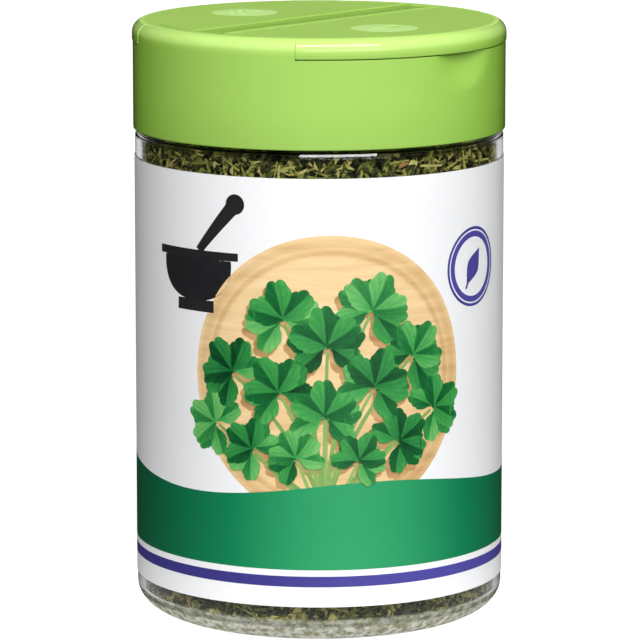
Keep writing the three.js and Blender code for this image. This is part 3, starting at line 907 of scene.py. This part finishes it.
def half_moon(straight_edge, radius, steps=48):
    limit = math.degrees(math.acos(straight_edge / radius))
    return arc(0, 0, radius, -limit, limit, steps)


def peg(name, radius, place, bottom, top, direction, sides=40):
    """An upright round peg at a (forward, across) place."""
    deselect_all()
    bpy.ops.mesh.primitive_cylinder_add(
        vertices=sides, radius=radius * MM, depth=(top - bottom) * MM,
        location=turned(*place, (top + bottom) / 2, direction))
    piece = bpy.context.object
    piece.name = name
    bpy.ops.object.transform_apply()
    return piece


def drawn_across(name, section, half_length, direction):
    """A (forward, height) section drawn straight across the cap, turned to face a way."""
    turn = math.radians(direction)
    along = Vector((-math.sin(turn), math.cos(turn), 0)) * half_length
    piece = flat_face(name, [
        (Vector((forward * math.cos(turn), forward * math.sin(turn), height)) - along) * MM
        for forward, height in section])
    draw_out(2 * along * MM)
    close_up()
    return piece


def seat_tool(direction):
    """The room that a flap and its lip need in the crown: a stepped section drawn round."""
    half = LIP_HALF_ANGLE + LIP_SIDE_GAP
    outside, above = CAP_RADIUS + 2, CAP_TOP_Z + 2
    return draw_round("flap_seat", [
        (CROWN_INNER - 0.5, DECK_TOP_Z), (LEDGE_INNER, DECK_TOP_Z), (LEDGE_INNER, LEDGE_Z),
        (outside, LEDGE_Z), (outside, above), (CROWN_INNER - 0.5, above),
    ], direction - half, direction + half, 60, 0)


def press_notch(piece, direction):
    """Presses the soft thumb scallop into the wall just below the lip, fading out all round."""
    turn = math.radians(direction)
    for corner in piece.data.vertices:
        x, y, z = corner.co / MM
        reach = math.hypot(x, y)
        if reach < CAP_RADIUS - 0.01 or not LEDGE_Z - NOTCH_HEIGHT < z < LEDGE_Z + 2:
            continue
        across = reach * ((math.atan2(y, x) - turn + math.pi) % (2 * math.pi) - math.pi)
        spread = (across / NOTCH_HALF_WIDTH) ** 2 + (min(z - LEDGE_Z, 0) / NOTCH_HEIGHT) ** 2
        if spread < 1:
            keep = (reach - NOTCH_DEPTH * (1 - spread) ** 1.5) / reach
            corner.co.x *= keep
            corner.co.y *= keep


def on_marks(tree):
    """1 on the round pad of either flap, 0 elsewhere."""
    place = own_place(tree)
    to_mark = [
        measured(tree, "DISTANCE", place, turned(*mark, MARK_TOP_Z, direction))
        for mark, direction in ((POUR_MARK, POUR_DIRECTION), (SHAKER_MARK, SHAKER_DIRECTION))]
    on_pad = between(tree, worked(tree, "MINIMUM", *to_mark), MARK_RADIUS + 0.1, MARK_RADIUS - 0.15)
    upper = between(tree, part_of(tree, place, "Z"), CAP_TOP_Z + 0.012, CAP_TOP_Z + 0.02)
    return worked(tree, "MULTIPLY", on_pad, upper)


def green_plastic():
    """Satin polypropylene: light passes a little way in, the skin is very slightly uneven, and the
    round pad on each flap is frosted. Painted shade darkens the top and the hinge grooves, and a
    painted highlight lightens the rolled edge."""
    material, tree, shader = node_material(
        "green_plastic", IOR=1.49, Coat_Roughness=0.2, Coat_IOR=1.1, Subsurface_Weight=0.08,
        Subsurface_Radius=(0.5, 1.0, 0.2), Subsurface_Scale=0.0006)
    place = own_place(tree)
    height, reach = part_of(tree, place, "Z"), flat_reach(tree)
    roll_z, roll_radius = CAP_TOP_Z - CAP_EDGE_ROUND, CAP_RADIUS - CAP_EDGE_ROUND
    # painted light: the top is a little darker than the wall, as painted shade, and the thin rolled
    # edge between them is lighter, as a painted highlight
    up_the_edge = between(tree, height, roll_z - 0.9, roll_z + 0.4)
    near_edge = between(tree, reach, roll_radius - 0.1, roll_radius + 0.7)
    roll_painted_highlight = worked(tree, "MULTIPLY", up_the_edge, near_edge)
    tone = mixed(tree, roll_painted_highlight, mixed(tree, up_the_edge, WALL_GREEN, TOP_GREEN_PAINTED_SHADE), ROLL_GREEN_PAINTED_HIGHLIGHT)
    # painted shade: the bar and the hinge grooves beside it are painted darker, as shade in the
    # grooves
    turn = math.radians(POUR_DIRECTION)
    from_bar = measured(tree, "DOT_PRODUCT", place, (math.cos(turn), math.sin(turn), 0))
    by_bar = between(tree, worked(tree, "ABSOLUTE", from_bar),
                     BAR_HALF_WIDTH + 0.5, BAR_HALF_WIDTH + 0.4)
    sunk = between(tree, height, CAP_TOP_Z + 0.1, CAP_TOP_Z)
    in_crown = between(tree, reach, CROWN_INNER + 0.1, CROWN_INNER - 0.1)
    bar_painted_shade = worked(tree, "MULTIPLY", worked(tree, "MULTIPLY", by_bar, sunk), in_crown)
    tone = mixed(tree, bar_painted_shade, tone, GROOVE_GREEN_PAINTED_SHADE)
    unevenness = ranged(tree, grain(tree, 45, 3.0, 0.55), 0.3, 0.7, low=0.96)
    tone = measured(tree, "MULTIPLY", tone, unevenness)
    tone = mixed(tree, on_marks(tree), tone, FROSTED_GREEN)
    # a tinted clear coat deepens the wall where it turns away, and the body makes up for it
    on_wall = between(tree, height, CAP_TOP_Z - 0.3, CAP_TOP_Z - CAP_EDGE_ROUND)
    coat = mixed(tree, on_wall, (1, 1, 1), COAT_GREEN)
    feed_named(tree, shader, Coat_Weight=on_wall, Coat_Tint=coat,
               Base_Color=mixed(tree, 1.0, tone, coat, "DIVIDE"),
               Roughness=between(tree, height, CAP_TOP_Z - 0.25, CAP_TOP_Z - 0.03, 0.10, 0.55))
    add_bump(tree, shader, grain(tree, 1100), 0.08, 0.03)
    return material


green = green_plastic()
cap = turn_up("cap_shell", [
    (0.5, DECK_BOTTOM_Z),
    (PLUG_INNER, DECK_BOTTOM_Z),
    (PLUG_INNER, PLUG_BOTTOM_Z),
    (PLUG_OUTER - 0.3, PLUG_BOTTOM_Z),
    (PLUG_OUTER, DECK_BOTTOM_Z),
    (THREAD_RING_INNER, DECK_BOTTOM_Z),
    (THREAD_RING_INNER, THREAD_RING_BOTTOM_Z),
    (THREAD_RING_OUTER, THREAD_RING_BOTTOM_Z),
    (THREAD_RING_OUTER, SLOT_TOP_Z),
    (SKIRT_INNER, SLOT_TOP_Z),
    (SKIRT_INNER, CAP_BOTTOM_Z + 0.3),
    (SKIRT_INNER + 0.3, CAP_BOTTOM_Z),
    *arc(CAP_RADIUS - 0.3, CAP_BOTTOM_Z + 0.3, 0.3, -90, 0, 4),
    *[(CAP_RADIUS, height / 2) for height in range(200, 220)],
    *arc(CAP_RADIUS - CAP_EDGE_ROUND, CAP_TOP_Z - CAP_EDGE_ROUND, CAP_EDGE_ROUND, 0, 90, 14),
    (CROWN_INNER + 0.25, CAP_TOP_Z),
    (CROWN_INNER + 0.07, CAP_TOP_Z - 0.07),
    (CROWN_INNER, CAP_TOP_Z - 0.25),
    (CROWN_INNER, DECK_TOP_Z),
    (0.5, DECK_TOP_Z),
])
join_or_cut(cap, wind_thread("cap_thread", THREAD_RING_INNER, -THREAD_DEPTH,
                             THREAD_MIDDLE_Z - CAP_THREAD_DROP), "UNION")
for direction in (POUR_DIRECTION, SHAKER_DIRECTION):
    press_notch(cap, direction)
    join_or_cut(cap, seat_tool(direction), "DIFFERENCE")
bar = drawn_across("bar", [
    (-BAR_HALF_WIDTH, DECK_BOTTOM_Z + 0.5),
    *arc(-BAR_HALF_WIDTH + 0.3, BAR_EDGE_Z - 0.3, 0.3, 180, 90, 8),
    (-0.4, BAR_TOP_Z - 0.02), (-0.25, BAR_TOP_Z + 0.07), (-0.1, BAR_TOP_Z + 0.1),
    (0.1, BAR_TOP_Z + 0.1), (0.25, BAR_TOP_Z + 0.07), (0.4, BAR_TOP_Z - 0.02),
    *arc(BAR_HALF_WIDTH - 0.3, BAR_EDGE_Z - 0.3, 0.3, 90, 0, 8),
    (BAR_HALF_WIDTH, DECK_BOTTOM_Z + 0.5),
], CROWN_INNER + 0.7, POUR_DIRECTION)
join_or_cut(cap, bar, "UNION")
join_or_cut(cap, slab("pour_cut", half_moon(POUR_STRAIGHT_EDGE, POUR_RADIUS),
                      DECK_BOTTOM_Z - 2, DECK_TOP_Z + 2, POUR_DIRECTION), "DIFFERENCE")
for place in SHAKER_PLACES:
    join_or_cut(cap, peg("hole", SHAKER_HOLE_RADIUS, place, DECK_BOTTOM_Z - 2, DECK_TOP_Z + 2,
                         SHAKER_DIRECTION), "DIFFERENCE")
smooth(cap, 32)
cap.data.materials.append(green)
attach(cap, "jar_and_cap")
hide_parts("cap")

# ---------------------------------------------------------------- the two flaps
# Each flap is part of the same moulding as the cap: a half-round plate with a rounded lip that
# hangs over the cap's edge, a low bead along the hinge and a round pad on top. Under the pour flap
# a half-moon rim closes the opening, and under the shaker flap a peg closes each hole.
FLAP_RADIUS, FLAP_BOTTOM_Z, IN_CROWN_RADIUS = 35.238, 111.25, 31.0
LIP_INNER, LIP_BOTTOM_Z, LIP_ROUND, LIP_SIDE_TRIM = 33.3, 109.12, 0.25, 0.36
HINGE_EDGE = 3.3
STOPPER_BOTTOM_Z, STOPPER_GAP, POUR_RIM_WALL = 110.2, 0.45, 1.0
BEAD_TOP_Z, BEAD_ROUND, BEAD_HALF_LENGTH = 113.08, 1.92, 30.4
MARK_EDGE_RISE, MARK_CUT = 0.02, 0.19
SHAKER_DOTS = [(-2, -2.4), (-2, 0), (-2, 2.4), (0, -3.6), (0, -1.2), (0, 1.2), (0, 3.6),
               (2, -1.2), (2, 1.2)]


def flap_outline():
    """The flap's plan: inside the crown beside the hinge, past the edge between the lip's ends."""
    crown_limit = math.degrees(math.acos(HINGE_EDGE / IN_CROWN_RADIUS))
    lip_end = LIP_HALF_ANGLE + LIP_SIDE_TRIM
    return [
        *arc(0, 0, IN_CROWN_RADIUS, -crown_limit, -lip_end, 20),
        *arc(0, 0, FLAP_RADIUS + 1, -lip_end, lip_end, 60),
        *arc(0, 0, IN_CROWN_RADIUS, lip_end, crown_limit, 20),
    ]


def flap_plate(name, direction, mark):
    """One flap's plate, lip, hinge bead and round pad, turned up as a disc and cut to its plan."""
    plate = turn_up(name, [
        (0.5, FLAP_BOTTOM_Z),
        (LIP_INNER, FLAP_BOTTOM_Z),
        (LIP_INNER, LIP_BOTTOM_Z + 0.2),
        (LIP_INNER + 0.2, LIP_BOTTOM_Z),
        *arc(FLAP_RADIUS - LIP_ROUND, LIP_BOTTOM_Z + LIP_ROUND, LIP_ROUND, -90, 0, 4),
        *arc(FLAP_RADIUS - CAP_EDGE_ROUND, CAP_TOP_Z - CAP_EDGE_ROUND, CAP_EDGE_ROUND, 0, 90, 14),
        (FLAP_RADIUS - CAP_EDGE_ROUND - 0.4, CAP_TOP_Z),
        (0.5, CAP_TOP_Z),
    ])
    join_or_cut(plate, slab("plan", flap_outline(), LEDGE_Z - 1, CAP_TOP_Z + 1, direction),
                "INTERSECT")
    join_or_cut(plate, drawn_across("bead", [
        (HINGE_EDGE, CAP_TOP_Z - 0.6),
        *arc(HINGE_EDGE + 0.3, BEAD_TOP_Z - 0.3, 0.3, 180, 90, 9),
        *arc(HINGE_EDGE + 0.35, BEAD_TOP_Z - BEAD_ROUND, BEAD_ROUND, 90, 64, 4),
        (HINGE_EDGE + 1.4, CAP_TOP_Z - 0.6),
    ], BEAD_HALF_LENGTH, direction), "UNION")
    pad_edge_z = CAP_TOP_Z + MARK_EDGE_RISE
    pad = turn_up("pad", [
        (0.5, CAP_TOP_Z - 0.5),
        (MARK_RADIUS, CAP_TOP_Z - 0.5),
        *[(MARK_RADIUS * part, MARK_TOP_Z - (MARK_TOP_Z - pad_edge_z) * part ** 2)
          for part in (1, 0.95, 0.9, 0.8, 0.65, 0.5, 0.35, 0.2, 0.08)],
    ])
    pad.location = turned(*mark, 0, direction)
    bpy.ops.object.transform_apply()
    join_or_cut(plate, pad, "UNION")
    return plate


def finish_flap(flap, body):
    smooth(flap, 12)
    flap.data.materials.append(green)
    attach(flap, body)
    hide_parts(body)


pour_flap = flap_plate("pour_flap_plate", POUR_DIRECTION, POUR_MARK)
rim_edge, rim_radius = POUR_STRAIGHT_EDGE + STOPPER_GAP, POUR_RADIUS - STOPPER_GAP
rim = slab("rim", half_moon(rim_edge, rim_radius), STOPPER_BOTTOM_Z, FLAP_BOTTOM_Z + 0.5,
           POUR_DIRECTION)
join_or_cut(rim, slab("rim_inside", half_moon(rim_edge + POUR_RIM_WALL, rim_radius - POUR_RIM_WALL),
                      STOPPER_BOTTOM_Z - 1, FLAP_BOTTOM_Z + 1, POUR_DIRECTION), "DIFFERENCE")
join_or_cut(pour_flap, rim, "UNION")
forward, across = POUR_MARK
spoon_turns = [2 * math.pi * i / 40 for i in range(40)]
spoon_bowl = [(forward + 1.3 * math.cos(turn), across + 2.6 + 1.9 * math.sin(turn))
              for turn in spoon_turns]
spoon_handle = [(forward - 0.35, across - 4.6), (forward + 0.35, across - 4.6),
                (forward + 0.25, across + 1), (forward - 0.25, across + 1)]
for outline in (spoon_bowl, spoon_handle):
    join_or_cut(pour_flap, slab("spoon", outline, MARK_TOP_Z - MARK_CUT, MARK_TOP_Z + 1,
                                POUR_DIRECTION), "DIFFERENCE")
finish_flap(pour_flap, "pour_flap")

shaker_flap = flap_plate("shaker_flap_plate", SHAKER_DIRECTION, SHAKER_MARK)
for place in SHAKER_PLACES:
    join_or_cut(shaker_flap, peg("hole_peg", SHAKER_PEG_RADIUS, place, STOPPER_BOTTOM_Z,
                                 FLAP_BOTTOM_Z + 0.5, SHAKER_DIRECTION), "UNION")
for forward, across in SHAKER_DOTS:
    dot = peg("dot", 0.5, (SHAKER_MARK[0] + forward, SHAKER_MARK[1] + across),
              MARK_TOP_Z - MARK_CUT, MARK_TOP_Z + 1, SHAKER_DIRECTION, 16)
    join_or_cut(shaker_flap, dot, "DIFFERENCE")
finish_flap(shaker_flap, "shaker_flap")

# ---------------------------------------------------------------- the living hinges
# A thin web of the same green plastic joins each flap to the bar; the real web bends as the flap
# opens. It is drawn as a flat strip cut into narrow steps across.
WEB_START, WEB_END, WEB_HALF_LENGTH = 2.7, 3.6, 28.0
WEB_BOTTOM_Z, WEB_TOP_Z, WEB_STEPS = 112.12, 112.36, 9


def hinge_web(name, direction):
    turn = math.radians(direction)
    web = slab(name, [(WEB_START, -WEB_HALF_LENGTH), (WEB_END, -WEB_HALF_LENGTH),
                      (WEB_END, WEB_HALF_LENGTH), (WEB_START, WEB_HALF_LENGTH)],
               WEB_BOTTOM_Z, WEB_TOP_Z)
    for step in range(1, WEB_STEPS):
        cut = WEB_START + (WEB_END - WEB_START) * step / WEB_STEPS
        edit_all()
        bpy.ops.mesh.bisect(plane_co=(cut * MM, 0, 0), plane_no=(1, 0, 0))
        bpy.ops.object.mode_set(mode="OBJECT")
    web.rotation_euler = (0, 0, turn)
    bpy.ops.object.transform_apply()
    web.data.materials.append(green)
    smooth(web, 32)
    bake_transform(web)


hinge_web("pour_hinge_web", POUR_DIRECTION)
hinge_web("shaker_hinge_web", SHAKER_DIRECTION)

# ---------------------------------------------------------------- floor, light and camera
# The jar stands on a plain pale floor under soft studio light: a softbox high in front and a
# little to the right, a broad low one in front, and fills at the left, the right and the back that
# don't show in the gloss. Floor and surround are bright where they are seen and dim as light, but
# for a glowing patch of floor round the jar that lights its base and the leaf from below.
CAMERA_DISTANCE, CAMERA_HEIGHT = 853.2, 205.3
CAMERA_SIDE = 0.15
CAMERA_TILT_DOWN = 9.97
LENS_MM = 256.15
FLOOR_DIM, FLOOR_PALE, FLOOR_GLOW = (0.02, 0.02, 0.02), (0.14, 0.14, 0.14), 0.97
NEAR_JAR_RADII, NEAR_JAR_GLOW = (75, 45), 0.85
SURROUND_DIM = 0.015
scene = bpy.context.scene
scene.view_settings.view_transform = "Standard"


def seen_or_through(tree, place):
    """1 for what is seen straight or through clear plastic, 0 for light bounced off the object.
    What is mirrored inside the plastic counts only where it lies behind the jar."""
    path = tree.nodes.new("ShaderNodeLightPath").outputs
    seen = worked(tree, "ADD", path["Is Camera Ray"], path["Transmission Depth"], clamp=True)
    behind = part_of(tree, measured(tree, "NORMALIZE", place), "Y")
    bounced = worked(tree, "MULTIPLY_ADD", path["Glossy Depth"], ranged(tree, behind, 0.9, 0.75),
                     path["Diffuse Depth"])
    return worked(tree, "SUBTRACT", seen, bounced, clamp=True)


deselect_all()
bpy.ops.mesh.primitive_plane_add(size=8, location=(0, 0, 0))
floor = bpy.context.object
floor.name = "floor"
floor_material, tree, shader = node_material(
    "pale_floor", Roughness=0.9, Specular_IOR_Level=0.0, Emission_Color=(1, 1, 1))
place = own_place(tree)
lit = seen_or_through(tree, place)
# a glowing patch of floor round the jar lights the jar's base and the leaf from below
near_jar = between(tree, measured(tree, "LENGTH", place), *NEAR_JAR_RADII, high=NEAR_JAR_GLOW)
path = tree.nodes.new("ShaderNodeLightPath").outputs
mirrored = worked(tree, "SUBTRACT", path["Glossy Depth"], path["Transmission Depth"], clamp=True)
not_mirrored = worked(tree, "SUBTRACT", near_jar, mirrored, clamp=True)
glow = worked(tree, "MAXIMUM", worked(tree, "MULTIPLY", lit, FLOOR_GLOW), not_mirrored)
feed_named(tree, shader, Base_Color=mixed(tree, lit, FLOOR_DIM, FLOOR_PALE), Emission_Strength=glow)
floor.data.materials.append(floor_material)


def softbox(name, azimuth, elevation, distance, width, height, watts):
    """A rectangular area light: azimuth to the right of the front, elevation up, metres away."""
    a, e = math.radians(azimuth), math.radians(elevation)
    aim = Vector((0, 0, 0.07))
    place = aim + distance * Vector((math.sin(a) * math.cos(e), -math.cos(a) * math.cos(e),
                                     math.sin(e)))
    deselect_all()
    bpy.ops.object.light_add(type="AREA", location=place)
    light = bpy.context.object
    light.name = name
    light.data.shape = "RECTANGLE"
    light.data.size = width
    light.data.size_y = height
    light.data.energy = watts
    light.rotation_euler = (aim - place).to_track_quat("-Z", "Y").to_euler()
    return light


softbox("high_light", 14, 50, 1.2, 0.87, 0.32, 11.0)
softbox("front_light", 18, 9, 1.9, 1.9, 0.5, 12.2)
for fill in (softbox("left_light", -46, 31, 1.4, 1.3, 0.5, 12),
             softbox("right_light", 50, 31, 1.4, 1.3, 0.5, 10.2),
             softbox("back_light", 180, 12, 1.6, 0.9, 0.7, 14)):
    fill.visible_camera = False
    fill.visible_glossy = False
    fill.visible_transmission = False

world = bpy.data.worlds.new("surround")
world.use_nodes = True
tree = world.node_tree
lit = seen_or_through(tree, tree.nodes.new("ShaderNodeTexCoord").outputs["Generated"])
feed_named(tree, tree.nodes["Background"], Color=(1, 1, 1),
           Strength=ranged(tree, lit, 0, 1, low=SURROUND_DIM))
scene.world = world

deselect_all()
bpy.ops.object.camera_add(
    location=(CAMERA_SIDE * MM, -CAMERA_DISTANCE * MM, CAMERA_HEIGHT * MM),
    rotation=(math.radians(90 - CAMERA_TILT_DOWN), 0, 0))
camera = bpy.context.object
camera.name = "camera"
camera.data.lens = LENS_MM
camera.data.sensor_width = 36
camera.data.clip_start = 0.05
scene.camera = camera
